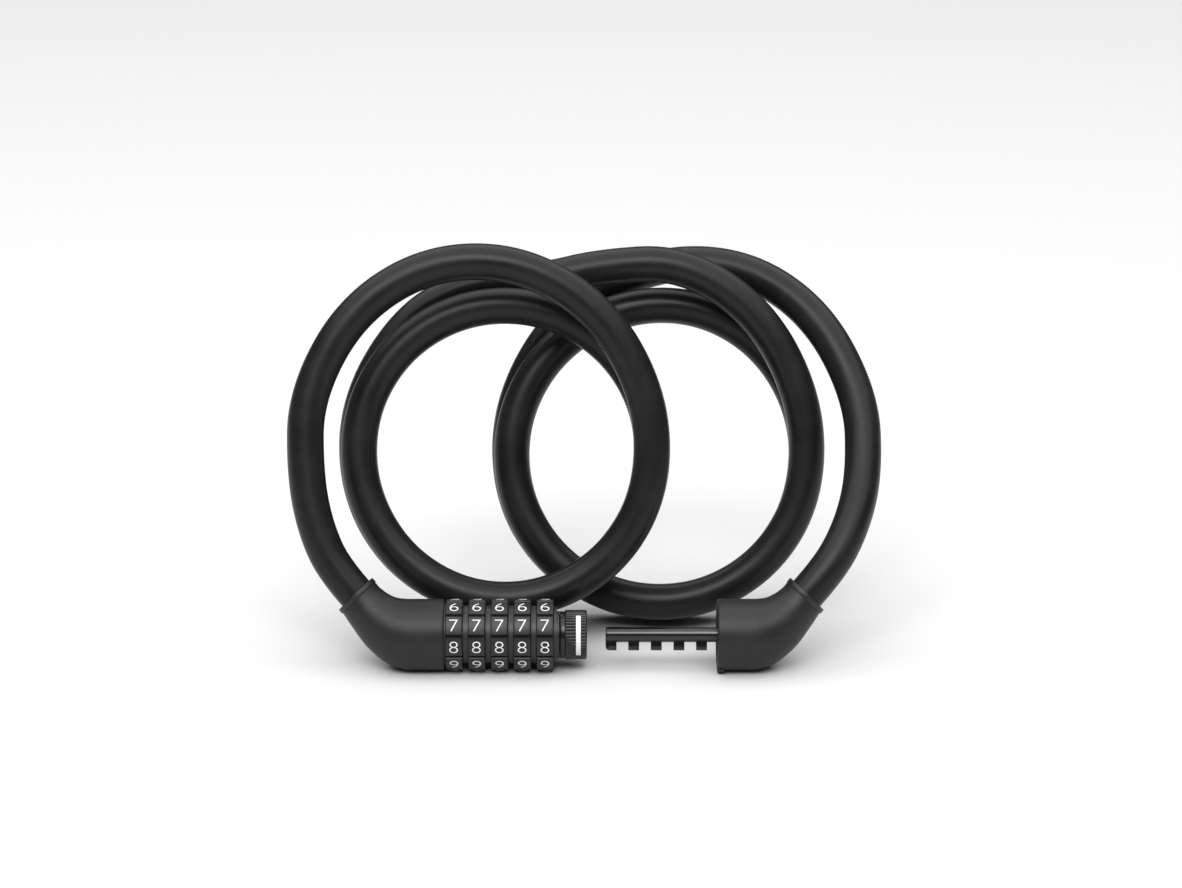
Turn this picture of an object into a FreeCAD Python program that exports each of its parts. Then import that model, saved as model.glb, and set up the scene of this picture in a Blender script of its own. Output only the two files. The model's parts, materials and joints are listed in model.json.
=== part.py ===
"""Combination cable lock: a five-dial lock body and a key bolt on the two ends of one coiled cable.

Everything is drawn upright in the coil's own plane, with X along the lock's axis, Y back through the
coil and Z up it. place() then leans the whole lock back about its axis until it rests on the surface.
"""

import FreeCAD
import Part
import math
import os

Vec = FreeCAD.Vector

# Driving dimensions, mm
cable_d = 12.0
body_r = 11.55
lean_deg = 16.4
running_gap = 0.08
face_gap = 0.12

# Dials
dial_count = 5
dial_pitch = 7.33
dial_width = 5.35
dial_r = 11.5
first_dial_x = -44.2
digits = 10
groove_width = 1.1
groove_depth = 0.55
dial_edge = 0.3
hub_r = 8.6
hub_flange_from = 3.9
core_r = 9.37

# Bolt and its way through the lock
bolt_r = 2.47
tooth_count = 5
tooth_pitch = 7.33
tooth_length = 3.53
tooth_width = 3.0
tooth_reach = 5.03
bolt_tip_x = 7.33
bolt_edge = 0.5
tooth_round = 1.2
barrel_r = 3.9
barrel_bore_r = 2.8
barrel_end_x = 0.9
barrel_set_back = 1.0
bore_over_run = 1.2
keyway_over_run = 0.9
keyway_width = 3.6
keyway_reach = 5.4
clip_width = 0.7
clip_set_back = 0.2

# Code-setting knob
knob_r = 8.0
knob_neck_r = 7.55
knob_bore_r = 5.4
knob_sleeve_r = 6.4
knob_sleeve_length = 4.7
knob_gap = 0.1
knob_x = -7.6
knob_length = 8.9
knob_neck = 1.8
knob_edge = 0.7
knurl_count = 44
knurl_depth = 0.3
mark_x = -2.24
mark_width = 1.55
mark_half_deg = 53.0
mark_depth = 0.4

# Detent balls
ball_r = 0.8
ball_ring_r = 6.6
ball_set_in = 0.35
ball_pocket_depth = 1.2
ball_fit = 0.02
track_depth = 0.6
track_clearance = 0.2

# Plates at the two ends of the dials
front_plate_r = 10.4
front_plate_width = 2.0
core_block_r = 7.0
core_block_set_back = 1.0
end_plate_r = 9.05
end_plate_width = 0.95
end_step_r = 7.65

# Fittings: each is a straight barrel with a bend up to the cable
bend_x = {-1: -57.2, 1: 56.1}
face_x = {-1: -44.75, 1: 43.4}
collar_out = 16.6
collar_up = 13.2
collar_tilt = 46.0
collar_r = 7.55
collar_band = 1.8
collar_edge = 0.3
elbow_sections = [
    # outward, up, tilt, radius
    (0.0, 0.0, 0.0, body_r),
    (4.8, 1.4, 9.7, 10.65),
    (9.3, 4.55, 20.9, 9.26),
    (13.0, 8.65, 34.3, 7.81),
]
elbow_end_r = 7.1
elbow_seam_deg = 90.0
cable_seat = 8.0
ferrule_wall = 0.9
ferrule_floor = 1.5
ferrule_set_back = 0.3
anchor_r = 3.6
socket_r = 8.4
socket_wall = 1.2
socket_lip = 0.3
socket_floor_x = 53.7
bolt_seat = 4.8
carrier_length = 5.9
tab_length = 2.4
tab_width = 3.3
tab_height = 3.0
tab_side = 3.5
tab_drop = 0.4

# The coil: side, top and bottom points of its turns in order, as along, up and back
front_turns = [
    ("side", -90.2, 61.5, 2.0),
    ("top", -35.2, 121.2, 5.2),
    ("side", 22.5, 59.2, 9.0),
    ("bottom", -25.7, 10.6, 14.7),
    ("side", -73.8, 59.9, 17.6),
    ("top", -25.8, 107.4, 19.5),
    ("side", 22.8, 59.9, 21.6),
    ("bottom", -26.0, 10.0, 27.0),
    ("side", -75.3, 59.8, 30.0),
    ("top", -14.0, 119.0, 30.3),
]
rear_turns = [
    ("top", 18.0, 122.6, 30.6),
    ("side", 74.6, 58.2, 32.8),
    ("bottom", 25.8, 8.9, 36.2),
    ("side", -24.0, 58.1, 39.6),
    ("top", 26.9, 108.5, 42.6),
    ("side", 75.3, 58.1, 45.2),
    ("bottom", 26.0, 8.5, 48.5),
    ("side", -25.0, 58.1, 52.3),
    ("top", 38.5, 122.9, 52.5),
    ("side", 92.3, 60.5, 19.0),
]
exit_run = 9.0
lead_in = [(-87.0, 35.0, 0.5), (-90.2, 52.5, 1.3)]
bridge = [(-38.5, 114.5, 30.2), (-13.0, 116.3, 30.3), (5.0, 120.8, 30.5)]
lead_out = [(92.3, 51.8, 14.0), (87.6, 34.8, 5.5)]
points_per_quarter = 3
# Each stretch of cable ends half way along the run after this point of the route
stretch_ends = {
    "cable_turn_1": 12,
    "cable_turn_2": 24,
    "cable_turn_3": 38,
    "cable_turn_4": 50,
    "cable_turn_5": 56,
    "cable_tail": None,
}

shapes = {}


def place(shape):
    """Lean the shape back about the lock's axis and stand it on the surface."""
    shape.rotate(Vec(0, 0, 0), Vec(1, 0, 0), -lean_deg)
    shape.translate(Vec(0, 0, body_r))
    return shape


def keep(name, shape):
    """Store one finished piece, which has to be one valid solid."""
    if not shape.isValid() or len(shape.Solids) != 1:
        raise ValueError(f"{name}: valid {shape.isValid()}, solids {len(shape.Solids)}")
    shapes[name] = shape.Solids[0]


def rod(radius, x0, x1, y=0.0, z=0.0):
    return Part.makeCylinder(radius, x1 - x0, Vec(x0, y, z), Vec(1, 0, 0))


def ring(outer, inner, x0, x1):
    return rod(outer, x0, x1).cut(rod(inner, x0, x1))


def keyway(x0, x1, width=keyway_width, reach=keyway_reach):
    """The straight way that the bolt's teeth need under the axis."""
    return Part.makeBox(x1 - x0, width, reach, Vec(x0, -width / 2, -reach))


def is_rim(edge, radius):
    """Whether the edge is a whole or partial circle of this radius."""
    return hasattr(edge.Curve, "Radius") and abs(edge.Curve.Radius - radius) < 0.001


def turned(shape, degrees):
    copy = shape.copy()
    copy.rotate(Vec(0, 0, 0), Vec(1, 0, 0), degrees)
    return copy


def dial_left(index):
    return first_dial_x + index * dial_pitch


def collar_frame(side):
    """The collar's centre and the direction in which the cable leaves it."""
    tilt = math.radians(collar_tilt)
    centre = Vec(bend_x[side] + side * collar_out, 0, collar_up)
    return centre, Vec(side * math.cos(tilt), 0, math.sin(tilt))


def along_collar(side, radius, start, end):
    """A rod on the collar's axis, from start to end beyond the collar's mouth."""
    centre, way = collar_frame(side)
    return Part.makeCylinder(radius, end - start, centre + way * start, way)


def elbow_wire(side, outward, up, tilt, radius):
    wire = Part.Wire(Part.makeCircle(radius, Vec(0, 0, 0), Vec(1, 0, 0)))
    wire.rotate(Vec(0, 0, 0), Vec(1, 0, 0), elbow_seam_deg)
    wire.rotate(Vec(0, 0, 0), Vec(0, 1, 0), -side * tilt)
    wire.translate(Vec(bend_x[side] + side * outward, 0, up))
    return wire


def elbow_solid(side):
    """The outer form of a fitting, without its hollows."""
    wires = [elbow_wire(side, *section) for section in elbow_sections]
    tilt = math.radians(collar_tilt)
    end_out = collar_out - collar_band * math.cos(tilt)
    end_up = collar_up - collar_band * math.sin(tilt)
    wires.append(elbow_wire(side, end_out, end_up, collar_tilt, elbow_end_r))
    bend = Part.makeLoft(wires, True, False)
    straight = rod(body_r, min(face_x[side], bend_x[side]), max(face_x[side], bend_x[side]))
    return bend.fuse(straight)


def ferrule_and_anchor(side, name, inner_x):
    """The crimped cup on the cable's end and the steel link that ties it to the mechanism."""
    radius = cable_d / 2
    cup_end = -collar_band - ferrule_set_back
    cup = along_collar(side, radius + ferrule_wall, -cable_seat - ferrule_floor, cup_end)
    hole = along_collar(side, radius, -cable_seat, 0)
    centre, way = collar_frame(side)
    foot = Vec(inner_x, 0, 0)
    head = centre - way * (cable_seat + ferrule_floor / 2)
    link = Part.makeCylinder(anchor_r, (head - foot).Length, foot, head - foot)
    beyond = inner_x - side * body_r
    link = link.cut(rod(body_r, min(inner_x, beyond), max(inner_x, beyond))).cut(cup)
    keep(name + "_anchor", link)
    keep(name + "_ferrule", cup.cut(hole))
    return cup.fuse(link)


def collar_band_ring(side, name):
    radius = cable_d / 2
    band = along_collar(side, collar_r, -collar_band, 0).cut(along_collar(side, radius, -collar_band, 0))
    rims = [e for e in band.Edges if is_rim(e, collar_r)]
    keep(name + "_collar", band.makeFillet(collar_edge, rims))


def lock_body():
    """The parts that stay with the lock: cover, barrel, plates and spacers."""
    plate_x0 = face_x[-1] - front_plate_width
    plate_x1 = first_dial_x - face_gap
    barrel_x0 = bend_x[-1] - barrel_set_back
    block_x0 = bend_x[-1] + core_block_set_back
    inner = ferrule_and_anchor(-1, "lock", barrel_x0)
    plate = ring(front_plate_r, barrel_r, plate_x0, plate_x1)
    core_block = ring(core_block_r, barrel_r, block_x0, plate_x0)
    cover = elbow_solid(-1)
    for hollow in (inner, rod(front_plate_r, plate_x0, 0), rod(core_block_r, block_x0, 0),
                   rod(barrel_r, barrel_x0, 0), along_collar(-1, cable_d / 2, -cable_seat, exit_run)):
        cover = cover.cut(hollow)
    keep("lock_cover", cover)
    collar_band_ring(-1, "lock")
    keep("lock_front_plate", plate)
    keep("lock_core_block", core_block)

    bore = rod(barrel_bore_r, first_dial_x - bore_over_run, barrel_end_x)
    barrel = rod(barrel_r, barrel_x0, barrel_end_x).cut(bore)
    keep("lock_barrel", barrel.cut(keyway(first_dial_x - keyway_over_run, barrel_end_x)))

    for index in range(dial_count - 1):
        x0 = dial_left(index) + dial_width + face_gap
        x1 = dial_left(index + 1) - face_gap
        spacer = ring(core_r, barrel_r, x0, x1).cut(keyway(x0, x1))
        keep(f"spacer_{index + 1}", spacer.cut(ball_pocket(x0)))

    x0 = dial_left(dial_count - 1) + dial_width + face_gap
    sleeve_x0 = knob_x - knob_gap
    plate = ring(end_plate_r, barrel_r, x0, x0 + end_plate_width)
    step = ring(end_step_r, barrel_r, x0 + end_plate_width, sleeve_x0)
    sleeve = ring(knob_sleeve_r, knob_bore_r, sleeve_x0, sleeve_x0 + knob_sleeve_length)
    end_plate = plate.fuse(step).fuse(sleeve).cut(keyway(x0, sleeve_x0)).cut(ball_pocket(x0))
    keep("lock_end_plate", end_plate)

    clip_x1 = barrel_end_x - clip_set_back
    clip = ring(keyway_reach - clip_set_back, barrel_r, clip_x1 - clip_width, clip_x1)
    keep("barrel_clip", clip.cut(keyway(clip_x1 - clip_width, clip_x1, reach=body_r)))

    for index in range(dial_count):
        x = dial_left(index) + dial_width + face_gap + ball_set_in
        keep(f"detent_ball_{index + 1}", Part.makeSphere(ball_r, Vec(x, 0, ball_ring_r)))


def ball_pocket(x0):
    """The blind hole, in the plate that starts at x0, that guides a dial's detent ball."""
    return rod(ball_r + ball_fit, x0, x0 + ball_pocket_depth, z=ball_ring_r)


def dial(index):
    """One dial: the numbered wheel and the gate hub that turns inside it."""
    x0 = dial_left(index)
    x1 = x0 + dial_width
    wheel = ring(dial_r, hub_r, x0, x1)
    wheel = wheel.makeChamfer(dial_edge, [e for e in wheel.Edges if is_rim(e, dial_r)])
    groove = Part.makeBox(dial_width, 2 * groove_depth, groove_width,
                          Vec(x0, -dial_r - groove_depth, -groove_width / 2))
    for number in range(digits):
        wheel = wheel.cut(turned(groove, number * 360 / digits))
    keep(f"dial_{index + 1}", wheel)

    flange_x0 = x0 + hub_flange_from
    hub = ring(hub_r, keyway_reach, x0, flange_x0).fuse(ring(hub_r, barrel_r + running_gap, flange_x0, x1))
    half_track = ball_r + track_clearance
    track = ring(ball_ring_r + half_track, ball_ring_r - half_track, x1 - track_depth, x1)
    keep(f"hub_{index + 1}", hub.cut(keyway(flange_x0, x1)).cut(track))


def sector(outer, inner, x0, x1, half_deg):
    """A piece of a ring that faces forward, from -half_deg to half_deg about the axis."""
    shape = Part.makeCylinder(outer, x1 - x0, Vec(x0, 0, 0), Vec(1, 0, 0), 2 * half_deg)
    shape = shape.cut(rod(inner, x0, x1))
    centre = shape.Solids[0].CenterOfMass
    shape.rotate(Vec(0, 0, 0), Vec(1, 0, 0), -math.degrees(math.atan2(centre.z, centre.y)) + 180)
    return shape


def knob():
    """The code-setting knob: knurled ring, plain neck and an inlaid index mark."""
    x1 = knob_x + knob_length
    grip = rod(knob_r, knob_x + knob_neck, x1)
    grip = grip.makeFillet(knob_edge, [e for e in grip.Edges if is_rim(e, knob_r)])
    seat = rod(knob_sleeve_r + running_gap, knob_x, knob_x + knob_sleeve_length)
    bore = seat.fuse(rod(knob_bore_r, knob_x, x1))
    body = grip.fuse(rod(knob_neck_r, knob_x, knob_x + knob_neck)).cut(bore)
    cutter = Part.makeBox(knob_length, 2 * knurl_depth, 2 * knurl_depth, Vec(knob_x + knob_neck, 0, 0))
    cutter.rotate(cutter.Vertexes[0].Point, Vec(1, 0, 0), 45)
    cutter.translate(Vec(0, -knob_r, 0) - Vec(0, cutter.BoundBox.Center.y, cutter.BoundBox.Center.z))
    cutters = [turned(cutter, n * 360 / knurl_count) for n in range(knurl_count)]
    inner_r = knob_r - mark_depth
    recess = sector(knob_r + mark_depth, inner_r, mark_x, mark_x + mark_width, mark_half_deg)
    body = body.cut(Part.makeCompound(cutters)).cut(recess)
    keep("knob", body)
    keep("knob_mark", sector(knob_r, inner_r, mark_x, mark_x + mark_width, mark_half_deg))


def bolt_fitting():
    """The other end of the cable: cover, socket liner, carrier and the toothed bolt."""
    carrier_x1 = socket_floor_x + carrier_length
    liner_r = socket_r + socket_wall
    inner = ferrule_and_anchor(1, "bolt", carrier_x1)
    tab = Part.makeBox(tab_length, tab_width, tab_height, Vec(face_x[1], -tab_side, -body_r - tab_drop))
    cover = elbow_solid(1)
    cable_way = along_collar(1, cable_d / 2, -cable_seat, exit_run)
    for hollow in (inner, rod(liner_r, 0, carrier_x1), cable_way, tab):
        cover = cover.cut(hollow)
    keep("bolt_cover", cover)
    collar_band_ring(1, "bolt")
    liner = ring(liner_r, socket_r, face_x[1] + socket_lip, socket_floor_x)
    keep("socket_liner", liner.cut(tab))
    keep("locating_tab", tab.cut(rod(socket_r, 0, socket_floor_x)))
    carrier = ring(liner_r, bolt_r, socket_floor_x, socket_floor_x + bolt_seat)
    back = rod(liner_r, socket_floor_x + bolt_seat, carrier_x1)
    keep("bolt_carrier", carrier.fuse(back))

    shaft = rod(bolt_r, bolt_tip_x, socket_floor_x + bolt_seat)
    shaft = shaft.makeChamfer(bolt_edge, [e for e in shaft.Edges if is_rim(e, bolt_r)])
    for index in range(tooth_count):
        x = bolt_tip_x + index * tooth_pitch
        tooth = Part.makeBox(tooth_length, tooth_width, tooth_reach, Vec(x, -tooth_width / 2, -tooth_reach))
        if index == 0:
            front = [e for e in tooth.Edges if e.BoundBox.XMax < x + tooth_round]
            low_front = min(front, key=lambda e: e.BoundBox.ZMax)
            tooth = tooth.makeFillet(tooth_round, [low_front])
        shaft = shaft.fuse(tooth)
    keep("bolt", shaft)


def quarter(start, end):
    """Route points round a quarter of an ellipse between two neighbouring points of the coil."""
    step = math.pi / 2 / points_per_quarter
    reach = 1 / math.cos(step / 2)
    points = []
    for index in range(points_per_quarter):
        angle = step * (index + 0.5)
        share = (index + 0.5) / points_per_quarter
        back = start[3] + (end[3] - start[3]) * share
        leaving = math.cos(angle) * reach
        nearing = math.sin(angle) * reach
        if start[0] == "side":
            x = end[1] + (start[1] - end[1]) * leaving
            up = start[2] + (end[2] - start[2]) * nearing
        else:
            x = start[1] + (end[1] - start[1]) * nearing
            up = end[2] + (start[2] - end[2]) * leaving
        points.append((x, up, back))
    return points


def turns(stations):
    points = []
    for start, end in zip(stations, stations[1:]):
        points += quarter(start, end)
    return points


def cable_route():
    """Every point of the cable's route, from inside one fitting to inside the other."""
    exits = []
    for side in (-1, 1):
        centre, way = collar_frame(side)
        exits.append([centre - way * cable_seat, centre + way * exit_run])
    points = lead_in + turns(front_turns)[:-1] + bridge + turns(rear_turns) + lead_out
    route = [Vec(x, back, up) for x, up, back in points]
    return exits[0] + route + exits[1][::-1]


def corner(before, at, after):
    """The arc that rounds one point of the route: its ends, its middle and its radius."""
    way_in = (at - before).normalize()
    way_out = (after - at).normalize()
    half_turn = way_in.getAngle(way_out) / 2
    cut = 0.45 * min((at - before).Length, (after - at).Length)
    radius = cut / math.tan(half_turn)
    inward = (way_out - way_in).normalize()
    middle = at + inward * (radius / math.cos(half_turn) - radius)
    return at - way_in * cut, middle, at + way_out * cut, radius


def cable():
    """The cable in stretches, each swept along straight runs joined by tangent arcs."""
    route = cable_route()
    corners = {i: corner(*route[i - 1:i + 2]) for i in range(1, len(route) - 1)}
    radii = [c[3] for c in corners.values()]
    print(f"cable bend radii: {min(radii):.1f} to {max(radii):.1f} mm at {len(radii)} points")
    total = 0.0
    first = 1
    start = route[0]
    for name, last in stretch_ends.items():
        if last is None:
            last = len(route) - 2
            end = route[-1]
        else:
            end = (route[last] + route[last + 1]) * 0.5
        edges = []
        here = start
        for i in range(first, last + 1):
            arc_start, middle, arc_end, _ = corners[i]
            edges.append(Part.LineSegment(here, arc_start).toShape())
            edges.append(Part.Arc(arc_start, middle, arc_end).toShape())
            here = arc_end
        edges.append(Part.LineSegment(here, end).toShape())
        path = Part.Wire(edges)
        section = Part.Wire(Part.makeCircle(cable_d / 2, start, route[first] - start))
        tube = path.makePipeShell([section], True, False)
        expected = math.pi * (cable_d / 2) ** 2 * path.Length
        ratio = tube.Volume / expected
        print(f"{name}: length {path.Length:.1f} mm, volume / (section x length) {ratio:.4f}")
        keep(name, tube)
        total += path.Length
        start = end
        first = last + 1
    print(f"cable length {total:.1f} mm")


lock_body()
for number in range(dial_count):
    dial(number)
knob()
bolt_fitting()
cable()

os.makedirs("parts", exist_ok=True)
lowest = {}
for node, solid in shapes.items():
    placed = place(solid)
    lowest[node] = placed.optimalBoundingBox().ZMin
    placed.exportStep(f"parts/{node}.step")
print(f"{len(shapes)} pieces, lowest point {min(lowest.values()):.3f} mm in {min(lowest, key=lowest.get)}")
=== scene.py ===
import bpy
import bmesh
import json
import math
from mathutils import Matrix, Vector


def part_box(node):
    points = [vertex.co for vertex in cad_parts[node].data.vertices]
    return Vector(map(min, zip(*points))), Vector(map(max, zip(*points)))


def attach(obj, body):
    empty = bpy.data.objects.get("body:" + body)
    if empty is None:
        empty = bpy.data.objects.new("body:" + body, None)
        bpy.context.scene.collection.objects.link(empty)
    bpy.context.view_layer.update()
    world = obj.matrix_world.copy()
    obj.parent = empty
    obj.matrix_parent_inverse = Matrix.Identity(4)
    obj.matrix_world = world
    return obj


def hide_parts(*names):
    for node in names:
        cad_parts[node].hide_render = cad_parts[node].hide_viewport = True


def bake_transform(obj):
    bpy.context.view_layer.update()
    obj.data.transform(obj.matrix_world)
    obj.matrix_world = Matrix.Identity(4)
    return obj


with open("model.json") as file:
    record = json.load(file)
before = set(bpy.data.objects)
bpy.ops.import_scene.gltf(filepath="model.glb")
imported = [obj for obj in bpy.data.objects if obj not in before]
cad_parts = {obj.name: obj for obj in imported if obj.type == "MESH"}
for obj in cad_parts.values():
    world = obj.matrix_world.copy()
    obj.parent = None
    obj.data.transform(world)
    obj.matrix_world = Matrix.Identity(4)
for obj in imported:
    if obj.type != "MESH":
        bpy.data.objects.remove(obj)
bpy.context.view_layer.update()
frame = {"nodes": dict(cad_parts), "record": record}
record = frame["record"]
joints = {joint["name"]: joint for joint in record["behaviour"]["joints"]}

# The lock's axis runs along X at this height, and the coil leans back about it
axisHeight = joints["knob_turn"]["pos_m"][2]
coilLean = math.radians(16.4)
leanMatrix = Matrix.Translation((0, 0, axisHeight)) @ Matrix.Rotation(-coilLean, 4, "X")
mm = 0.001
mergeDistance = 1e-7
tiny = 1e-6


# A point of the coil's own upright plane, in the frame, in metres
def leaned(along, back, up):
    return leanMatrix @ Vector((along, back, up))


# A new object, linked to the scene
def placed(name, data):
    thing = bpy.data.objects.new(name, data)
    bpy.context.scene.collection.objects.link(thing)
    return thing


# Puts a camera or a lamp at a place, looking at its aim
def aimed(thing, place, aim):
    thing.location = place
    thing.rotation_euler = (Vector(aim) - Vector(place)).to_track_quat("-Z", "Y").to_euler()


view = {
    "distance": 1.1,
    "aimAlong": 0.0026,
    "aimUp": 0.0618,
    "widthSeen": 0.3833,  # at the coil's plane
    "sensor": 36.0,  # millimetres
}


# The camera looks straight at the leaning coil
def makeCamera():
    camera = bpy.data.cameras.new("camera")
    camera.sensor_width = view["sensor"]
    camera.lens = view["sensor"] * view["distance"] / view["widthSeen"]
    holder = placed("camera", camera)
    place = leaned(view["aimAlong"], -view["distance"], view["aimUp"])
    aimed(holder, place, leaned(view["aimAlong"], 0, view["aimUp"]))
    bpy.context.scene.camera = holder
    bpy.context.scene.view_settings.view_transform = "Standard"


makeCamera()
print("camera ready")


def meshFrom(name, points, faces):
    mesh = bpy.data.meshes.new(name)
    mesh.from_pydata([tuple(p) for p in points], [], faces)
    return mesh


# A finished mesh piece that rides on a body and takes the place of CAD nodes
def pieceFrom(name, points, faces, material, body, replaced=(), smoothAngle=40):
    pieceFromMesh(name, meshFrom(name, points, faces), material, body, replaced, smoothAngle)


# The same from a mesh: merged, turned outwards and smooth but for its sharper edges
def pieceFromMesh(name, mesh, material, body, replaced=(), smoothAngle=40):
    shape = bmesh.new()
    shape.from_mesh(mesh)
    bmesh.ops.remove_doubles(shape, verts=shape.verts, dist=mergeDistance)
    bmesh.ops.recalc_face_normals(shape, faces=shape.faces)
    for edge in shape.edges:
        edge.smooth = len(edge.link_faces) == 2 and edge.calc_face_angle(0) < math.radians(smoothAngle)
    for face in shape.faces:
        face.smooth = True
    shape.to_mesh(mesh)
    shape.free()
    mesh.materials.append(material)
    piece = placed(name, mesh)
    if body:
        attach(piece, body)
    if replaced:
        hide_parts(*replaced)
    return piece


# Adds a finished mesh to a growing one and drops it
def addPart(shape, mesh):
    shape.from_mesh(mesh)
    bpy.data.meshes.remove(mesh)


# Points and faces of a skin over rings of equal count; closed joins the last ring to the first
def skinned(rings, capped=True, closed=False):
    count = len(rings[0])
    points = [p for ring in rings for p in ring]
    faces = []
    steps = len(rings) if closed else len(rings) - 1
    for i in range(steps):
        here = i * count
        there = (i + 1) % len(rings) * count
        for j in range(count):
            k = (j + 1) % count
            faces.append((here + j, here + k, there + k, there + j))
    if capped and not closed:
        faces.append(tuple(range(count))[::-1])
        faces.append(tuple(range(len(points) - count, len(points))))
    return points, faces


# A skin turned about the lock's axis from (along, radius) pairs; radiusAt may shape each turn
def lathed(profile, segments, radiusAt=None, closed=True):
    rings = []
    for along, radius in profile:
        ring = []
        for j in range(segments):
            angle = 2 * math.pi * j / segments
            r = radiusAt(angle, along, radius) if radiusAt else radius
            ring.append(leaned(along, -r * math.cos(angle), r * math.sin(angle)))
        rings.append(ring)
    return skinned(rings, closed=closed)


# A rounded outer edge from an end face outwards; way is 1 at the lower end and -1 at the upper
def roundedEdge(end, outer, edge, steps, way):
    arc = []
    for k in range(steps + 1):
        turn = math.pi / 2 * k / steps
        arc.append((end + way * edge * (1 - math.cos(turn)), outer - edge + edge * math.sin(turn)))
    return arc


# A ring's section, as a closed loop, with its two outer edges rounded
def roundedProfile(x0, x1, inner, outer, edge, steps=4):
    lower = roundedEdge(x0, outer, edge, steps, 1)
    upper = roundedEdge(x1, outer, edge, steps, -1)
    return [(x0, inner)] + lower + upper[::-1] + [(x1, inner)]


# A shader node group of number sockets, filled in by its build function
def nodeGroup(name, inputs, outputs, build):
    group = bpy.data.node_groups.new(name, "ShaderNodeTree")
    for label, value in inputs.items():
        socket = group.interface.new_socket(name=label, in_out="INPUT", socket_type="NodeSocketFloat")
        socket.default_value = value
    for label in outputs:
        group.interface.new_socket(name=label, in_out="OUTPUT", socket_type="NodeSocketFloat")
    source = group.nodes.new("NodeGroupInput")
    target = group.nodes.new("NodeGroupOutput")
    build(group, source.outputs, target.inputs)
    return group


# Where a point of the surface is in the frame
def framePlace(tree):
    return tree.nodes.new("ShaderNodeTexCoord").outputs["Object"]


# Noise at a scale that is a number or a socket
def noiseNode(tree, vector, scale, detail, roughness=0.55):
    node = tree.nodes.new("ShaderNodeTexNoise")
    node.inputs["Detail"].default_value = detail
    node.inputs["Roughness"].default_value = roughness
    tree.links.new(vector, node.inputs["Vector"])
    if isinstance(scale, (int, float)):
        node.inputs["Scale"].default_value = scale
    else:
        tree.links.new(scale, node.inputs["Scale"])
    return node.outputs["Fac"]


# A value stretched from one span onto another, and held at its ends
def spread(tree, value, low, high, toLow=0.0, toHigh=1.0):
    node = tree.nodes.new("ShaderNodeMapRange")
    for label, number in (("From Min", low), ("From Max", high), ("To Min", toLow), ("To Max", toHigh)):
        node.inputs[label].default_value = number
    tree.links.new(value, node.inputs["Value"])
    return node.outputs["Result"]


# One maths node on two numbers or sockets
def maths(tree, operation, first, second):
    node = tree.nodes.new("ShaderNodeMath")
    node.operation = operation
    for socket, value in zip(node.inputs, (first, second)):
        if isinstance(value, (int, float)):
            socket.default_value = value
        else:
            tree.links.new(value, socket)
    return node.outputs[0]


# Soft mottling, fine grain and faint rubbed patches of a moulded skin
def buildMoulded(tree, source, target):
    place = framePlace(tree)
    mottle = noiseNode(tree, place, source["Mottle Scale"], 3.0)
    grain = noiseNode(tree, place, source["Grain Scale"], 2.0, 0.6)
    patches = noiseNode(tree, place, source["Rub Scale"], 5.0, 0.7)
    rub = spread(tree, patches, 0.56, 0.72)  # only the noise's peaks
    tree.links.new(spread(tree, mottle, 0.3, 0.7), target["Mottle"])
    tree.links.new(rub, target["Rub"])
    height = maths(tree, "ADD", grain, maths(tree, "MULTIPLY", mottle, source["Mottle Height"]))
    tree.links.new(height, target["Height"])


# Fine drawn lines along the lock's axis, with a few deeper ones
def buildBrushed(tree, source, target):
    place = framePlace(tree)
    squeeze = tree.nodes.new("ShaderNodeMapping")
    squeeze.inputs["Scale"].default_value = (0.02, 1.0, 1.0)  # lines are 50 times as long as wide
    tree.links.new(place, squeeze.inputs["Vector"])
    fine = noiseNode(tree, squeeze.outputs[0], source["Line Scale"], 3.0, 0.6)
    coarse = noiseNode(tree, squeeze.outputs[0], source["Band Scale"], 2.0)
    tree.links.new(spread(tree, fine, 0.3, 0.7), target["Lines"])
    tree.links.new(spread(tree, coarse, 0.35, 0.65), target["Bands"])
    bands = maths(tree, "MULTIPLY", coarse, source["Band Height"])
    tree.links.new(maths(tree, "ADD", fine, bands), target["Height"])


mouldedInputs = {"Mottle Scale": 60.0, "Grain Scale": 2600.0, "Rub Scale": 140.0, "Mottle Height": 0.6}
mouldedGroup = nodeGroup("mouldedSkin", mouldedInputs, ["Mottle", "Rub", "Height"], buildMoulded)
brushedInputs = {"Line Scale": 3500.0, "Band Scale": 900.0, "Band Height": 0.5}
brushedGroup = nodeGroup("drawnMetal", brushedInputs, ["Lines", "Bands", "Height"], buildBrushed)
bevelSamples = 6
rubbedDulling = 0.12
swell = {"scale": 70.0, "detail": 2.0, "roughness": 0.4}
drawnBump = {"strength": 0.25, "depth": 0.02 * mm}
# Painted shade: the near-black colour put on the dial grooves' floors
paintedGrooveShade = (0.001, 0.001, 0.001)


# Two colours or sockets mixed by a share
def colourMix(tree, share, first, second):
    node = tree.nodes.new("ShaderNodeMix")
    node.data_type = "RGBA"
    tree.links.new(share, node.inputs["Factor"])
    for label, value in (("A", first), ("B", second)):
        socket = next(s for s in node.inputs if s.name == label and s.type == "RGBA")
        if isinstance(value, tuple):
            socket.default_value = (*value, 1)
        else:
            tree.links.new(value, socket)
    return next(s for s in node.outputs if s.type == "RGBA")


# A new material, its nodes and its shader
def newMaterial(name):
    material = bpy.data.materials.new(name)
    material.use_nodes = True
    tree = material.node_tree
    return material, tree, tree.nodes["Principled BSDF"]


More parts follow.
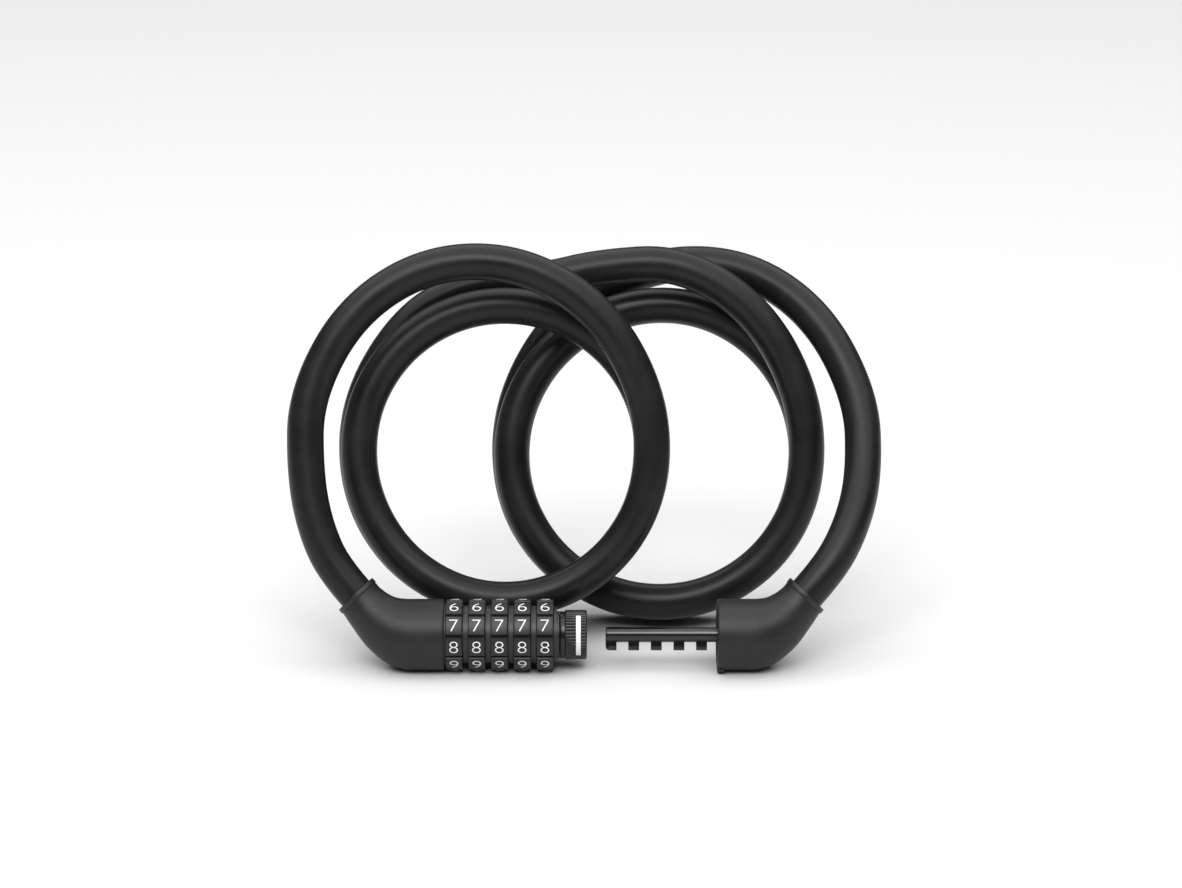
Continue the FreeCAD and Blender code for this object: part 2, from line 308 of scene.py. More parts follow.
# Relief from a height, over edges broken by the given radius
def bumped(tree, shader, height, strength, distance, edge=0.0):
    bump = tree.nodes.new("ShaderNodeBump")
    bump.inputs["Strength"].default_value = strength
    bump.inputs["Distance"].default_value = distance
    tree.links.new(height, bump.inputs["Height"])
    if edge:
        bevel = tree.nodes.new("ShaderNodeBevel")
        bevel.samples = bevelSamples
        bevel.inputs["Radius"].default_value = edge
        tree.links.new(bevel.outputs["Normal"], bump.inputs["Normal"])
    tree.links.new(bump.outputs["Normal"], shader.inputs["Normal"])


# Black moulded plastic or rubber: mottled tone, uneven gloss and a fine grain
def mouldedMaterial(name, look):
    material, tree, shader = newMaterial(name)
    skin = tree.nodes.new("ShaderNodeGroup")
    skin.node_tree = mouldedGroup
    skin.inputs["Mottle Scale"].default_value = look["mottleScale"]
    skin.inputs["Grain Scale"].default_value = look["grainScale"]
    tone = colourMix(tree, skin.outputs["Mottle"], look["dark"], look["light"])
    rubbed = maths(tree, "MULTIPLY", skin.outputs["Rub"], look["rub"])
    tree.links.new(colourMix(tree, rubbed, tone, look["rubbed"]), shader.inputs["Base Color"])
    rough = spread(tree, skin.outputs["Mottle"], 0, 1, look["rough"][0], look["rough"][1])
    dulled = maths(tree, "MULTIPLY", rubbed, rubbedDulling)
    tree.links.new(maths(tree, "ADD", rough, dulled), shader.inputs["Roughness"])
    shader.inputs["Specular IOR Level"].default_value = look["specular"]
    # The dial's grooves get painted shade on their floors
    if look.get("grooveShadeRadius"):
        darkenGrooves(tree, shader, look["grooveShadeRadius"])
    height = skin.outputs["Height"]
    if look.get("lay"):
        height = maths(tree, "ADD", height, strandLay(tree, look["lay"]))
    if look.get("uneven"):
        place = framePlace(tree)
        wave = noiseNode(tree, place, swell["scale"], swell["detail"], swell["roughness"])
        raised = maths(tree, "MULTIPLY", wave, look["uneven"] / look["grainDepth"])
        height = maths(tree, "ADD", height, raised)
    bumped(tree, shader, height, look["bump"], look["grainDepth"], look.get("edge", 0.0))
    return material


# 1 nearer the lock's axis than the given radius, and 0 outside it
def buildAxisDepth(tree, source, target):
    split = tree.nodes.new("ShaderNodeSeparateXYZ")
    tree.links.new(framePlace(tree), split.inputs[0])
    height = maths(tree, "SUBTRACT", split.outputs["Z"], source["Axis Height"])
    across = maths(tree, "POWER", split.outputs["Y"], 2.0)
    squares = maths(tree, "ADD", across, maths(tree, "POWER", height, 2.0))
    away = maths(tree, "SQRT", squares, 0)
    tree.links.new(maths(tree, "LESS_THAN", away, source["Radius"]), target["Inside"])


axisDepthGroup = nodeGroup("axisDepth", {"Axis Height": 0.0115, "Radius": 0.011}, ["Inside"], buildAxisDepth)


# Painted shade: dull black floors in the dial's grooves, standing in for the shade that falls in them
def darkenGrooves(tree, shader, radius):
    depth = tree.nodes.new("ShaderNodeGroup")
    depth.node_tree = axisDepthGroup
    depth.inputs["Axis Height"].default_value = axisHeight
    depth.inputs["Radius"].default_value = radius
    inside = depth.outputs["Inside"]
    above = shader.inputs["Base Color"].links[0].from_socket
    tree.links.new(colourMix(tree, inside, above, paintedGrooveShade), shader.inputs["Base Color"])
    rough = shader.inputs["Roughness"].links[0].from_socket
    tree.links.new(maths(tree, "MAXIMUM", rough, inside), shader.inputs["Roughness"])


# The wire rope's helical strands, showing very faintly through the sheath
def strandLay(tree, lay):
    uv = tree.nodes.new("ShaderNodeTexCoord").outputs["UV"]
    split = tree.nodes.new("ShaderNodeSeparateXYZ")
    tree.links.new(uv, split.inputs[0])
    turns = maths(tree, "MULTIPLY", split.outputs["Y"], 1 / lay["pitch"])
    phase = maths(tree, "ADD", maths(tree, "MULTIPLY", split.outputs["X"], lay["strands"]), turns)
    wave = maths(tree, "SINE", maths(tree, "MULTIPLY", phase, 2 * math.pi), 0)
    return maths(tree, "MULTIPLY", wave, lay["height"])


# Drawn and plated metal, with lines along the axis and tarnished bands
def metalMaterial(name, look):
    material, tree, shader = newMaterial(name)
    lines = tree.nodes.new("ShaderNodeGroup")
    lines.node_tree = brushedGroup
    tone = colourMix(tree, lines.outputs["Bands"], look["dark"], look["light"])
    tree.links.new(tone, shader.inputs["Base Color"])
    tree.links.new(spread(tree, lines.outputs["Lines"], 0, 1, *look["rough"]), shader.inputs["Roughness"])
    shader.inputs["Metallic"].default_value = 1.0
    bumped(tree, shader, lines.outputs["Height"], drawnBump["strength"], drawnBump["depth"], metalEdge)
    return material


# Colours are linear; roughness runs from the mottle's low to its high places
looks = {
    "cableJacket": {
        "dark": (0.0075, 0.0075, 0.008), "light": (0.012, 0.012, 0.0125), "rubbed": (0.03, 0.03, 0.031),
        "mottleScale": 55.0, "grainScale": 2200.0, "rub": 0.2, "rough": (0.3, 0.4), "specular": 0.22,
        "bump": 0.35, "grainDepth": 0.03 * mm, "uneven": 0.22 * mm,
        "lay": {"strands": 6, "pitch": 0.075, "height": 0.8},
    },
    "fittingCover": {
        "dark": (0.009, 0.009, 0.0095), "light": (0.014, 0.014, 0.0145), "rubbed": (0.035, 0.035, 0.035),
        "mottleScale": 90.0, "grainScale": 5200.0, "rub": 0.2, "rough": (0.42, 0.5), "specular": 0.34,
        "bump": 0.4, "grainDepth": 0.02 * mm,
    },
    "collarBand": {
        "dark": (0.008, 0.008, 0.0085), "light": (0.012, 0.012, 0.0125), "rubbed": (0.035, 0.035, 0.035),
        "mottleScale": 120.0, "grainScale": 5200.0, "rub": 0.3, "rough": (0.34, 0.44), "specular": 0.42,
        "bump": 0.3, "grainDepth": 0.02 * mm,
    },
    "dial": {
        "dark": (0.009, 0.009, 0.0095), "light": (0.014, 0.014, 0.0145), "rubbed": (0.04, 0.04, 0.04),
        "mottleScale": 160.0, "grainScale": 4200.0, "rub": 0.3, "rough": (0.36, 0.46), "specular": 0.42,
        # Inside this radius the grooves' floors are painted black as shade
        "bump": 0.35, "grainDepth": 0.02 * mm, "grooveShadeRadius": 11.15 * mm,
    },
    "core": {
        "dark": (0.022, 0.022, 0.0225), "light": (0.032, 0.032, 0.0325), "rubbed": (0.06, 0.06, 0.06),
        "mottleScale": 160.0, "grainScale": 4200.0, "rub": 0.25, "rough": (0.36, 0.46), "specular": 0.42,
        "bump": 0.3, "grainDepth": 0.02 * mm, "edge": 0.1 * mm,
    },
    "knob": {
        "dark": (0.004, 0.004, 0.0045), "light": (0.007, 0.007, 0.0075), "rubbed": (0.03, 0.03, 0.03),
        "mottleScale": 160.0, "grainScale": 3800.0, "rub": 0.2, "rough": (0.18, 0.28), "specular": 0.45,
        "bump": 0.2, "grainDepth": 0.015 * mm,
    },
    "ink": {
        "dark": (0.72, 0.72, 0.71), "light": (0.84, 0.84, 0.83), "rubbed": (0.5, 0.5, 0.5),
        "mottleScale": 400.0, "grainScale": 6000.0, "rub": 0.25, "rough": (0.4, 0.55), "specular": 0.4,
        "bump": 0.3, "grainDepth": 0.01 * mm,
    },
}
metalEdge = 0.1 * mm
metalLooks = {
    "boltSteel": {"dark": (0.04, 0.04, 0.042), "light": (0.06, 0.06, 0.062), "rough": (0.14, 0.26)},
    "innerSteel": {"dark": (0.42, 0.42, 0.43), "light": (0.56, 0.56, 0.58), "rough": (0.28, 0.42)},
    "hubBrass": {"dark": (0.55, 0.40, 0.16), "light": (0.68, 0.52, 0.24), "rough": (0.25, 0.4)},
}
materials = {name: mouldedMaterial(name, look) for name, look in looks.items()}
materials.update({name: metalMaterial(name, look) for name, look in metalLooks.items()})
print("materials ready:", len(materials))


cable = {
    "diameter": 0.012,
    "segments": 40,
    "smoothness": 16,
    "exitRun": 0.009,  # straight beyond the collar
    "seat": 0.008,  # inside it
    "pointsPerQuarter": 3,
    # side, top and bottom points of the coil's turns in order, as along, up and back
    "frontTurns": [
        ("side", -0.0902, 0.0615, 0.0020), ("top", -0.0352, 0.1212, 0.0052),
        ("side", 0.0225, 0.0592, 0.0090), ("bottom", -0.0257, 0.0106, 0.0147),
        ("side", -0.0738, 0.0599, 0.0176), ("top", -0.0258, 0.1074, 0.0195),
        ("side", 0.0228, 0.0599, 0.0216), ("bottom", -0.0260, 0.0100, 0.0270),
        ("side", -0.0753, 0.0598, 0.0300), ("top", -0.0140, 0.1190, 0.0303)],
    "rearTurns": [
        ("top", 0.0180, 0.1226, 0.0306), ("side", 0.0746, 0.0582, 0.0328),
        ("bottom", 0.0258, 0.0089, 0.0362), ("side", -0.0240, 0.0581, 0.0396),
        ("top", 0.0269, 0.1085, 0.0426), ("side", 0.0753, 0.0581, 0.0452),
        ("bottom", 0.0260, 0.0085, 0.0485), ("side", -0.0250, 0.0581, 0.0523),
        ("top", 0.0385, 0.1229, 0.0525), ("side", 0.0923, 0.0605, 0.0190)],
    "leadIn": [(-0.0870, 0.0350, 0.0005), (-0.0902, 0.0525, 0.0013)],
    "bridge": [(-0.0385, 0.1145, 0.0302), (-0.0130, 0.1163, 0.0303), (0.0050, 0.1208, 0.0305)],
    "leadOut": [(0.0923, 0.0518, 0.0140), (0.0876, 0.0348, 0.0055)],
    "stretches": 5,
    "tailFrom": 57,  # the tail starts half-way to this point of the route
}
fittings = {
    -1: {"bend": -0.0572, "face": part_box("lock_cover")[1][0], "name": "lock", "body": "lock"},
    1: {"bend": 0.0561, "face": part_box("bolt_cover")[0][0], "name": "bolt", "body": "key_end"},
}
collar = {
    "out": 0.0166, "up": 0.0132, "tilt": math.radians(46), "radius": 0.00755, "band": 0.0018,
    "edge": 0.0003, "segments": 96,
}


# The collar's centre and the way that the cable leaves it, in the coil's plane
def collarFrame(side):
    centre = Vector((fittings[side]["bend"] + side * collar["out"], 0, collar["up"]))
    return centre, Vector((side * math.cos(collar["tilt"]), 0, math.sin(collar["tilt"])))


# Points round a quarter of an ellipse, placed so that the smooth line lies on it
def quarter(start, end):
    step = math.pi / 2 / cable["pointsPerQuarter"]
    reach = 1 / math.cos(step / 2)
    points = []
    for index in range(cable["pointsPerQuarter"]):
        angle = step * (index + 0.5)
        share = (index + 0.5) / cable["pointsPerQuarter"]
        back = start[3] + (end[3] - start[3]) * share
        leaving = math.cos(angle) * reach
        nearing = math.sin(angle) * reach
        if start[0] == "side":
            x = end[1] + (start[1] - end[1]) * leaving
            up = start[2] + (end[2] - start[2]) * nearing
        else:
            x = start[1] + (end[1] - start[1]) * nearing
            up = end[2] + (start[2] - end[2]) * leaving
        points.append((x, up, back))
    return points


# The quarters between a coil's stations, one after the other
def turns(stations):
    points = []
    for start, end in zip(stations, stations[1:]):
        points += quarter(start, end)
    return points


# The whole route, from inside one fitting to inside the other
def cableRoute():
    exits = []
    for side in (-1, 1):
        centre, way = collarFrame(side)
        exits.append([centre - way * cable["seat"], centre + way * cable["exitRun"]])
    points = cable["leadIn"] + turns(cable["frontTurns"])[:-1] + cable["bridge"]
    points += turns(cable["rearTurns"]) + cable["leadOut"]
    route = [Vector((x, back, up)) for x, up, back in points]
    return [leanMatrix @ p for p in exits[0] + route + exits[1][::-1]]


# Points read back from the route's smooth line
def routeLine(points):
    curve = bpy.data.curves.new("cableRoute", "CURVE")
    curve.dimensions = "3D"
    curve.resolution_u = cable["smoothness"]
    spline = curve.splines.new("NURBS")
    spline.points.add(len(points) - 1)
    for knot, point in zip(spline.points, points):
        knot.co = (*point, 1)
    spline.order_u = 3
    spline.use_endpoint_u = True
    holder = bpy.data.objects.new("cableRoute", curve)
    mesh = bpy.data.meshes.new_from_object(holder)
    line = [v.co.copy() for v in mesh.vertices]
    bpy.data.objects.remove(holder)
    bpy.data.curves.remove(curve)
    bpy.data.meshes.remove(mesh)
    return line


# Rings round the whole line, and the length along it at each
def cableRings(line):
    segments = cable["segments"]
    radius = cable["diameter"] / 2
    angles = [2 * math.pi * j / segments for j in range(segments)]
    ways = [(b - a).normalized() for a, b in zip(line, line[1:])]
    side = Vector((0, -1, 0))
    rings = []
    lengths = [0.0]
    for i, point in enumerate(line):
        way = (ways[max(i - 1, 0)] + ways[min(i, len(ways) - 1)]).normalized()
        side = (side - way * side.dot(way)).normalized()
        other = way.cross(side)
        rings.append([point + (side * math.cos(a) + other * math.sin(a)) * radius for a in angles])
    for a, b in zip(line, line[1:]):
        lengths.append(lengths[-1] + (b - a).length)
    return rings, lengths


# A stretch of the tube, with UVs of turn and metres along the cable
def tubeMesh(name, rings, lengths):
    segments = cable["segments"]
    mesh = meshFrom(name, *skinned(rings))
    uv = mesh.uv_layers.new(name="UVMap")
    for face in mesh.polygons:
        across = [mesh.loops[k].vertex_index % segments for k in face.loop_indices]
        wraps = max(across) - min(across) > segments / 2
        for k, around in zip(face.loop_indices, across):
            turn = around / segments
            if wraps and around < segments / 2:
                turn += 1.0
            uv.data[k].uv = (turn, lengths[mesh.loops[k].vertex_index // segments])
    return mesh


# The cable as one line, cut into the coils and the tail
def makeCable():
    route = cableRoute()
    line = routeLine(route)
    middle = (route[cable["tailFrom"] - 1] + route[cable["tailFrom"]]) / 2
    split = min(range(len(line)), key=lambda i: (line[i] - middle).length)
    rings, lengths = cableRings(line)
    mainMesh = tubeMesh("cable_main", rings[:split + 1], lengths[:split + 1])
    tailMesh = tubeMesh("cable_tail_visible", rings[split:], lengths[split:])
    main = pieceFromMesh("cable_main", mainMesh, materials["cableJacket"], "lock",
                         [f"cable_turn_{k + 1}" for k in range(cable["stretches"])])
    tail = pieceFromMesh("cable_tail_visible", tailMesh, materials["cableJacket"], None,
                         ["cable_tail"])
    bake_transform(tail)


makeCable()


cover = {
    "radius": 0.01155,
    "rim": 0.0006,
    "rimSteps": 3,
    "straightSteps": 6,
    "wall": 0.00195,
    "mouthDepth": 0.0095,
    "mouthEdge": 0.0003,
    "blindBore": 0.0104,
    # outward, up, tilt and radius of the bend's sections
    "sections": [(0.0, 0.0, 0.0, 0.01155), (0.0048, 0.0014, 9.7, 0.01065), (0.0093, 0.00455, 20.9, 0.00926),
                 (0.0130, 0.00865, 34.3, 0.00781), (0.01535, 0.0119, 46.0, 0.0072)],
    "stepsBetween": 8,
    "segments": 96,
    "seamHeight": 0.00006,
    "seamWidth": 0.04,
}


# A value on a smooth curve through evenly spaced values; t counts them from 0
def smoothBetween(values, t):
    i = min(int(t), len(values) - 2)
    f = t - i
    before = values[max(i - 1, 0)]
    after = values[min(i + 2, len(values) - 1)]
    a, b = values[i], values[i + 1]
    slopeA = (b - before) / 2
    slopeB = (after - a) / 2
    return (a * (2 * f ** 3 - 3 * f ** 2 + 1) + slopeA * (f ** 3 - 2 * f ** 2 + f)
            + b * (3 * f ** 2 - 2 * f ** 3) + slopeB * (f ** 3 - f ** 2))


# One ring of points round the cover, with the mould's parting seam at top and bottom
def coverRing(side, outward, up, tilt, radius):
    bend = fittings[side]["bend"]
    ring = []
    for j in range(cover["segments"]):
        angle = 2 * math.pi * j / cover["segments"]
        seam = cover["seamHeight"] * math.exp(-(math.cos(angle) / cover["seamWidth"]) ** 2)
        r = radius + seam
        height = r * math.sin(angle)
        ring.append(leaned(bend + side * (outward - height * math.sin(tilt)), -r * math.cos(angle),
                           up + height * math.cos(tilt)))
    return ring


# The soft elbow cover, from its rim or mouth to the cable; the key end's has an open socket
def makeCover(side):
    info = fittings[side]
    sections = cover["sections"]
    straight = abs(info["bend"] - info["face"])
    rim = cover["rim"]
    rings = []
    if side > 0:  # the open mouth's wall comes first, from its floor outwards
        inner = cover["radius"] - cover["wall"]
        for depth in (cover["mouthDepth"], cover["mouthEdge"]):
            rings.append(coverRing(side, depth - straight, 0, 0, inner))
        rings.append(coverRing(side, -straight, 0, 0, inner + cover["mouthEdge"]))
    else:
        rings.append(coverRing(side, -straight, 0, 0, cover["blindBore"]))
    for outward, radius in roundedEdge(-straight, cover["radius"], rim, cover["rimSteps"], 1):
        rings.append(coverRing(side, outward, 0, 0, radius))
    for k in range(1, cover["straightSteps"]):
        outward = (rim - straight) * (1 - k / cover["straightSteps"])
        rings.append(coverRing(side, outward, 0, 0, cover["radius"]))
    columns = list(zip(*sections))
    steps = cover["stepsBetween"] * (len(sections) - 1)
    for k in range(steps + 1):
        t = k / cover["stepsBetween"]
        outward, up, tilt, radius = (smoothBetween(c, t) for c in columns)
        rings.append(coverRing(side, outward, up, math.radians(tilt), radius))
    last = sections[-1]
    rings.append(coverRing(side, last[0], last[1], math.radians(last[2]), cable["diameter"] / 2))
    points, faces = skinned(rings, capped=False)
    pieceFrom(info["name"] + "_boot", points, faces, materials["fittingCover"], info["body"],
              [info["name"] + "_cover"])


# The collar band: a thin ring, rounded outside, round the cable at the cover's end
def makeBand(side):
    info = fittings[side]
    centre, way = collarFrame(side)
    up = Vector((-way.z, 0, way.x))
    profile = roundedProfile(-collar["band"], 0, cable["diameter"] / 2, collar["radius"], collar["edge"])
    rings = []
    for along, radius in profile:
        ring = []
        for j in range(collar["segments"]):
            angle = 2 * math.pi * j / collar["segments"]
            offset = up * math.sin(angle) + Vector((0, math.cos(angle), 0))
            ring.append(leanMatrix @ (centre + way * along + offset * radius))
        rings.append(ring)
    points, faces = skinned(rings, closed=True)
    pieceFrom(info["name"] + "_band", points, faces, materials["collarBand"], info["body"],
              [info["name"] + "_collar"])


for fittingSide in (-1, 1):
    makeCover(fittingSide)
    makeBand(fittingSide)
print("fittings ready")


dial = {
    "count": 5, "digits": 10, "radius": 0.0115, "innerRadius": 0.0086, "edge": 0.0003,
    "edgeSteps": 3, "segments": 600, "smoothAngle": 30,
    "grooveHalfDeg": 2.6, "grooveDepth": 0.00055, "grooveSlope": 0.3, "frontDigit": 7, "digitHeight": 0.0039,
    "digitWidth": 0.0028, "digitLift": 0.00004, "digitStep": 0.0003,
    "strokeTrim": -0.02, "narrowOne": 0.5, "textDepth": 0.02, "cutMerge": 1e-8,
}


# The dial's outside, with a narrow groove between each two digits
def dialRadius(angle, along, radius):
    if radius < dial["radius"] - 2 * dial["edge"]:
        return radius
    pitch = 2 * math.pi / dial["digits"]
    away = abs((angle + pitch / 2) % pitch - pitch / 2)
    half = math.radians(dial["grooveHalfDeg"])
    depth = min(max((half - away) / (half * dial["grooveSlope"]), 0.0), 1.0)
    return radius - dial["grooveDepth"] * depth


# The height angle of each digit: the front one sits half a step above the middle
def digitAngles():
    step = 2 * math.pi / dial["digits"]
    return {d: step * (dial["frontDigit"] - d) + step / 2 for d in range(dial["digits"])}


# A digit as a flat mesh, scaled to its size and cut into narrow strips so that it can bend
def flatDigit(digit):
    text = bpy.data.curves.new("digit", "FONT")
    text.body = str(digit)
    text.extrude = dial["textDepth"]
    text.offset = dial["strokeTrim"]
    holder = placed("digit", text)
    mesh = bpy.data.meshes.new_from_object(holder)
    bpy.data.objects.remove(holder)
    bpy.data.curves.remove(text)
    low = [min(v.co[i] for v in mesh.vertices) for i in range(3)]
    high = [max(v.co[i] for v in mesh.vertices) for i in range(3)]
    width = dial["digitWidth"] * (dial["narrowOne"] if digit == 1 else 1.0)
    size = (width, dial["digitHeight"], 2 * dial["digitLift"])
    for vertex in mesh.vertices:
        for i in range(3):
            vertex.co[i] = ((vertex.co[i] - low[i]) / (high[i] - low[i]) - 0.5) * size[i]
    shape = bmesh.new()
    shape.from_mesh(mesh)
    bpy.data.meshes.remove(mesh)
    cuts = int(dial["digitHeight"] / dial["digitStep"])
    for k in range(1, cuts):
        height = (k / cuts - 0.5) * dial["digitHeight"]
        everything = shape.verts[:] + shape.edges[:] + shape.faces[:]
        bmesh.ops.bisect_plane(shape, geom=everything, plane_co=(0, height, 0), plane_no=(0, 1, 0),
                               dist=dial["cutMerge"])
    bmesh.ops.triangulate(shape, faces=shape.faces)
    return shape


# All ten digits wrapped round one dial
def numeralsMesh(name, centreX):
    joined = bmesh.new()
    for digit, angle in digitAngles().items():
        shape = flatDigit(digit)
        for vertex in shape.verts:
            x, y, z = vertex.co
            radius = dial["radius"] + z
            height = angle + y / dial["radius"]
            vertex.co = leaned(centreX + x, -radius * math.cos(height), radius * math.sin(height))
        part = bpy.data.meshes.new("digitPart")
        shape.to_mesh(part)
        shape.free()
        addPart(joined, part)
    mesh = bpy.data.meshes.new(name)
    joined.to_mesh(mesh)
    joined.free()
    return mesh


# One dial with its digits
def makeDial(number):
    low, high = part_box(f"dial_{number}")
    profile = roundedProfile(low[0], high[0], dial["innerRadius"], dial["radius"], dial["edge"],
                             dial["edgeSteps"])
    points, faces = lathed(profile, segments=dial["segments"], radiusAt=dialRadius)
    body = f"wheel_{number}"
    pieceFrom(f"dial_ring_{number}", points, faces, materials["dial"], body, [f"dial_{number}"],
              dial["smoothAngle"])
    mesh = numeralsMesh(f"dial_numerals_{number}", (low[0] + high[0]) / 2)
    pieceFromMesh(f"dial_numerals_{number}", mesh, materials["ink"], body)


for dialNumber in range(1, dial["count"] + 1):
    makeDial(dialNumber)
print("dials ready")


knob = {
    "neck": 0.0018, "neckRadius": 0.00755, "radius": 0.008, "bore": 0.0054,
    "edge": 0.0006, "edgeSteps": 5, "shoulder": 0.0002, "mouthEdge": 0.0003, "segments": 880,
    "ribs": 44, "ribDepth": 0.00032, "ribRoundness": 0.7, "ribFade": 0.0004, "gripFrom": 0.0003,
    "gripStart": 0.00035,
    "markHalfDeg": 53.0, "markSteps": 60, "markDepth": 0.0004, "markEdge": 0.00012,
    "pocketDepth": 0.00035, "pocketMarginDeg": 1.5, "pocketMargin": 0.0001, "pocketStep": 0.00002,
    "smoothAngle": 50,
}
knob["x0"], knob["x1"] = (corner[0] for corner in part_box("knob"))
knob["markX0"], knob["markX1"] = (corner[0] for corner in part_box("knob_mark"))


# Rounded ribs round the grip, smoothed away at its ends
def knobRadius(angle, along, radius):
    grip = knob["x0"] + knob["neck"] + knob["gripFrom"]
    end = knob["x1"] - knob["edge"]
    margin = knob["pocketMargin"]
    if radius < knob["neckRadius"] + margin or along < grip:
        return radius
    fade = min(1.0, max(0.0, (end + knob["ribFade"] - along) / knob["ribFade"]))
    half = math.radians(knob["markHalfDeg"] + knob["pocketMarginDeg"])
    front = (angle + math.pi) % (2 * math.pi) - math.pi
    if knob["markX0"] - margin < along < knob["markX1"] + margin and abs(front) < half:
        return knob["radius"] - knob["pocketDepth"]  # the mark's pocket
    crest = abs(math.cos(knob["ribs"] / 2 * angle)) ** knob["ribRoundness"]
    return radius - knob["ribDepth"] * fade * (1 - crest)


# The knob's section: bore, neck, shoulder, ribbed grip and rounded end
def knobProfile():
    x0, x1 = knob["x0"], knob["x1"]
    neckEnd = x0 + knob["neck"]
    outer = knob["radius"]
    shoulder = knob["shoulder"]
    profile = [(x0, knob["bore"]), (x0, knob["neckRadius"] - shoulder), (x0 + shoulder, knob["neckRadius"]),
               (neckEnd - shoulder / 2, knob["neckRadius"]), (neckEnd, outer - shoulder),
               (neckEnd + shoulder, outer), (neckEnd + knob["gripStart"], outer)]
    # two stations close together at each side of the mark's pocket make its walls
    for side, place in ((-1, knob["markX0"]), (1, knob["markX1"])):
        wall = place + side * knob["pocketMargin"]
        profile += [(wall - knob["pocketStep"], outer), (wall + knob["pocketStep"], outer)]
    profile += roundedEdge(x1, outer, knob["edge"], knob["edgeSteps"], -1)[::-1]
    return profile + [(x1, knob["bore"] + knob["mouthEdge"]), (x1 - knob["mouthEdge"], knob["bore"])]


# The grip, and the pale mark let into its front
def makeKnob():
    points, faces = lathed(knobProfile(), segments=knob["segments"], radiusAt=knobRadius)
    pieceFrom("knob_grip", points, faces, materials["knob"], "setting_knob", ["knob"],
              knob["smoothAngle"])

    half = math.radians(knob["markHalfDeg"])
    outer = knob["radius"]
    inner = outer - knob["markDepth"]
    section = roundedProfile(knob["markX0"], knob["markX1"], inner, outer, knob["markEdge"])
    rings = []
    for k in range(knob["markSteps"] + 1):
        angle = -half + 2 * half * k / knob["markSteps"]
        rings.append([leaned(x, -r * math.cos(angle), r * math.sin(angle)) for x, r in section])
    points, faces = skinned(rings)
    pieceFrom("knob_index_bar", points, faces, materials["ink"], "setting_knob", ["knob_mark"])


makeKnob()
print("knob ready")


bolt = {
    "tip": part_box("bolt")[0][0], "end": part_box("bolt")[1][0], "radius": 0.00247, "tipEdge": 0.0005,
    "teeth": 5, "pitch": 0.00733, "toothLength": 0.00353, "toothWidth": 0.003, "toothReach": 0.00503,
    "edge": 0.00018, "edgeSteps": 2, "tipRound": 0.0012, "tipRoundSteps": 8, "tipSteps": 4,
    "tipPoint": 0.00001, "segments": 64, "smoothAngle": 35,
}


# One tooth under the shaft, with its edges broken; the first has a rounded lower corner
def boltTooth(index):
    x = bolt["tip"] + index * bolt["pitch"]
    size = (bolt["toothLength"], bolt["toothWidth"], bolt["toothReach"])
    centre = Matrix.Translation((x + size[0] / 2, 0, -size[2] / 2))
    tooth = bmesh.new()
    bmesh.ops.create_cube(tooth, size=1.0, matrix=centre @ Matrix.Diagonal((*size, 1)))
    if index == 0:
        nearX = x + tiny
        nearZ = -size[2] + tiny
        corner = [e for e in tooth.edges if all(v.co.x < nearX and v.co.z < nearZ for v in e.verts)]
        bmesh.ops.bevel(tooth, geom=corner, offset=bolt["tipRound"], segments=bolt["tipRoundSteps"],
                        affect="EDGES", profile=0.5)
    bmesh.ops.bevel(tooth, geom=tooth.edges[:], offset=bolt["edge"], segments=bolt["edgeSteps"],
                    affect="EDGES", profile=0.5, clamp_overlap=True)
    bmesh.ops.transform(tooth, matrix=leanMatrix, verts=tooth.verts)
    return tooth


# The round shaft with its five teeth
def makeBolt():
    profile = [(bolt["tip"], bolt["tipPoint"])]
    profile += roundedEdge(bolt["tip"], bolt["radius"], bolt["tipEdge"], bolt["tipSteps"], 1)
    profile.append((bolt["end"], bolt["radius"]))
    shape = bmesh.new()
    addPart(shape, meshFrom("bolt_shaft", *lathed(profile, segments=bolt["segments"], closed=False)))
    for index in range(bolt["teeth"]):
        tooth = boltTooth(index)
        part = bpy.data.meshes.new("bolt_tooth")
        tooth.to_mesh(part)
        tooth.free()
        addPart(shape, part)
    mesh = bpy.data.meshes.new("bolt_bar")
    shape.to_mesh(mesh)
    shape.free()
    pieceFromMesh("bolt_bar", mesh, materials["boltSteel"], "key_end", ["bolt"], bolt["smoothAngle"])


makeBolt()
print("bolt ready")


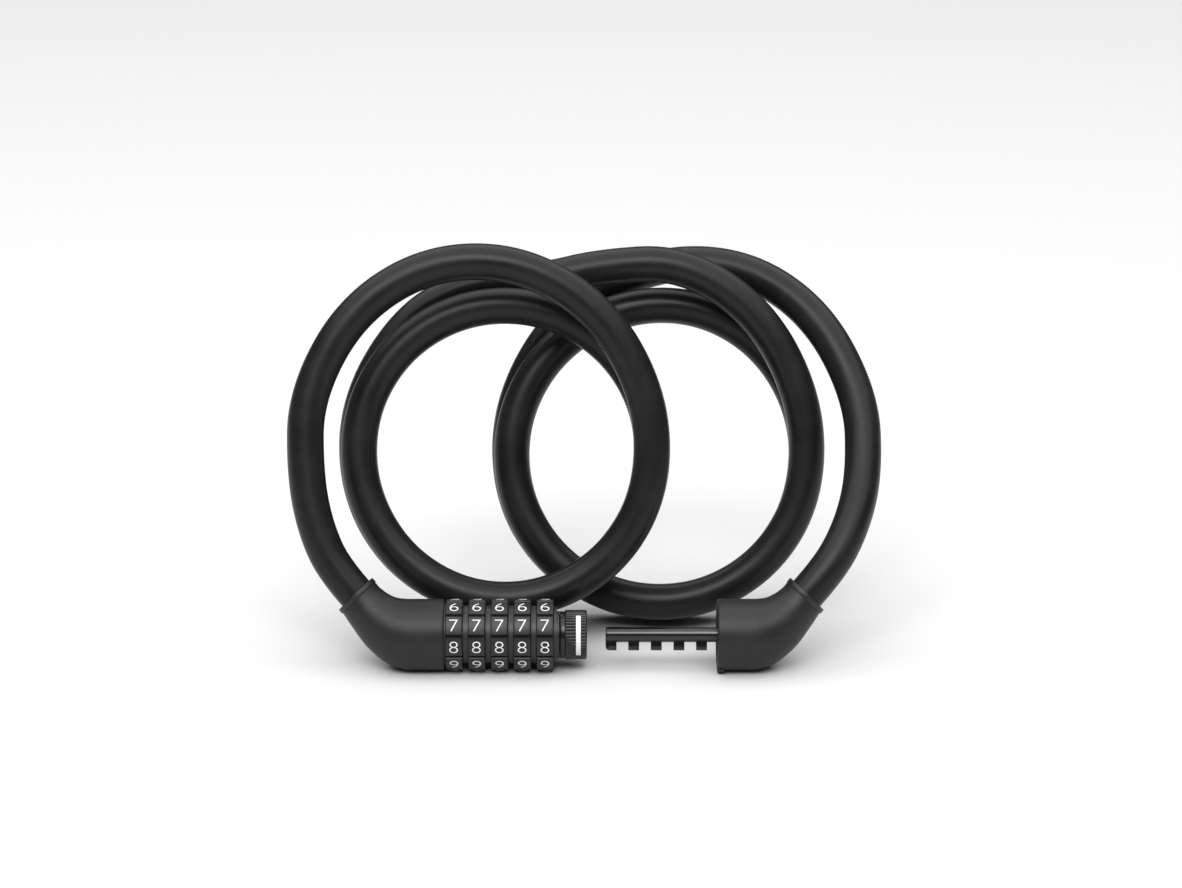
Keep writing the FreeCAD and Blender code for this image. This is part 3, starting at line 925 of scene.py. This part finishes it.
# CAD nodes that stay get the material of their record's slot
slotMaterials = {"core": "core", "steel": "innerSteel", "hub": "hubBrass", "ball": "innerSteel",
                 "cable_jacket": "cableJacket", "fitting_cover": "fittingCover", "collar_band": "collarBand",
                 "dial": "dial", "knob": "knob", "index_mark": "ink", "bolt": "boltSteel"}
for part in record["subparts"]:
    node = frame["nodes"][part["node"]]
    node.data.materials.clear()
    node.data.materials.append(materials[slotMaterials[part["material_slot"]]])


studio = {
    "floorSize": 8.0, "floorTone": (0.66, 0.66, 0.66), "floorCloud": 3.0, "floorShade": 0.99,
    "floorRoughness": 0.8, "floorSpecular": 0.1, "worldTone": (1.0, 1.0, 1.0), "worldStrength": 0.12,
}
lamps = [
    # name, place, aim, size, radiance
    ("overheadSoftbox", (0.0, 0.2, 2.2), (0.0, 0.2, 0.0), (5.0, 5.0), 2.0),
    ("frontSoftbox", (-0.15, -1.2, 1.3), (0.0, 0.0, 0.05), (1.3, 0.8), 5.5),
]


# A wide pale floor that isn't part of the lock
def makeFloor():
    half = studio["floorSize"] / 2
    corners = [(-half, -half, 0), (half, -half, 0), (half, half, 0), (-half, half, 0)]
    mesh = meshFrom("floor", corners, [(0, 1, 2, 3)])
    floor = placed("floor", mesh)
    material, tree, shader = newMaterial("paleFloor")
    place = framePlace(tree)
    cloud = noiseNode(tree, place, studio["floorCloud"], 3.0)
    tone = studio["floorTone"]
    shade = tuple(c * studio["floorShade"] for c in tone)
    tree.links.new(colourMix(tree, cloud, shade, tone), shader.inputs["Base Color"])
    shader.inputs["Roughness"].default_value = studio["floorRoughness"]
    shader.inputs["Specular IOR Level"].default_value = studio["floorSpecular"]
    mesh.materials.append(material)


# Soft boxes overhead and in front, and a faint even sky
def makeLight():
    world = bpy.data.worlds.new("studioWorld")
    bpy.context.scene.world = world
    world.use_nodes = True
    background = world.node_tree.nodes["Background"]
    background.inputs["Color"].default_value = (*studio["worldTone"], 1)
    background.inputs["Strength"].default_value = studio["worldStrength"]
    for name, place, aim, size, radiance in lamps:
        lamp = bpy.data.lights.new(name, "AREA")
        lamp.shape = "RECTANGLE"
        lamp.size, lamp.size_y = size
        lamp.energy = radiance * math.pi * size[0] * size[1]
        aimed(placed(name, lamp), place, aim)


makeFloor()
makeLight()
print("stage ready")
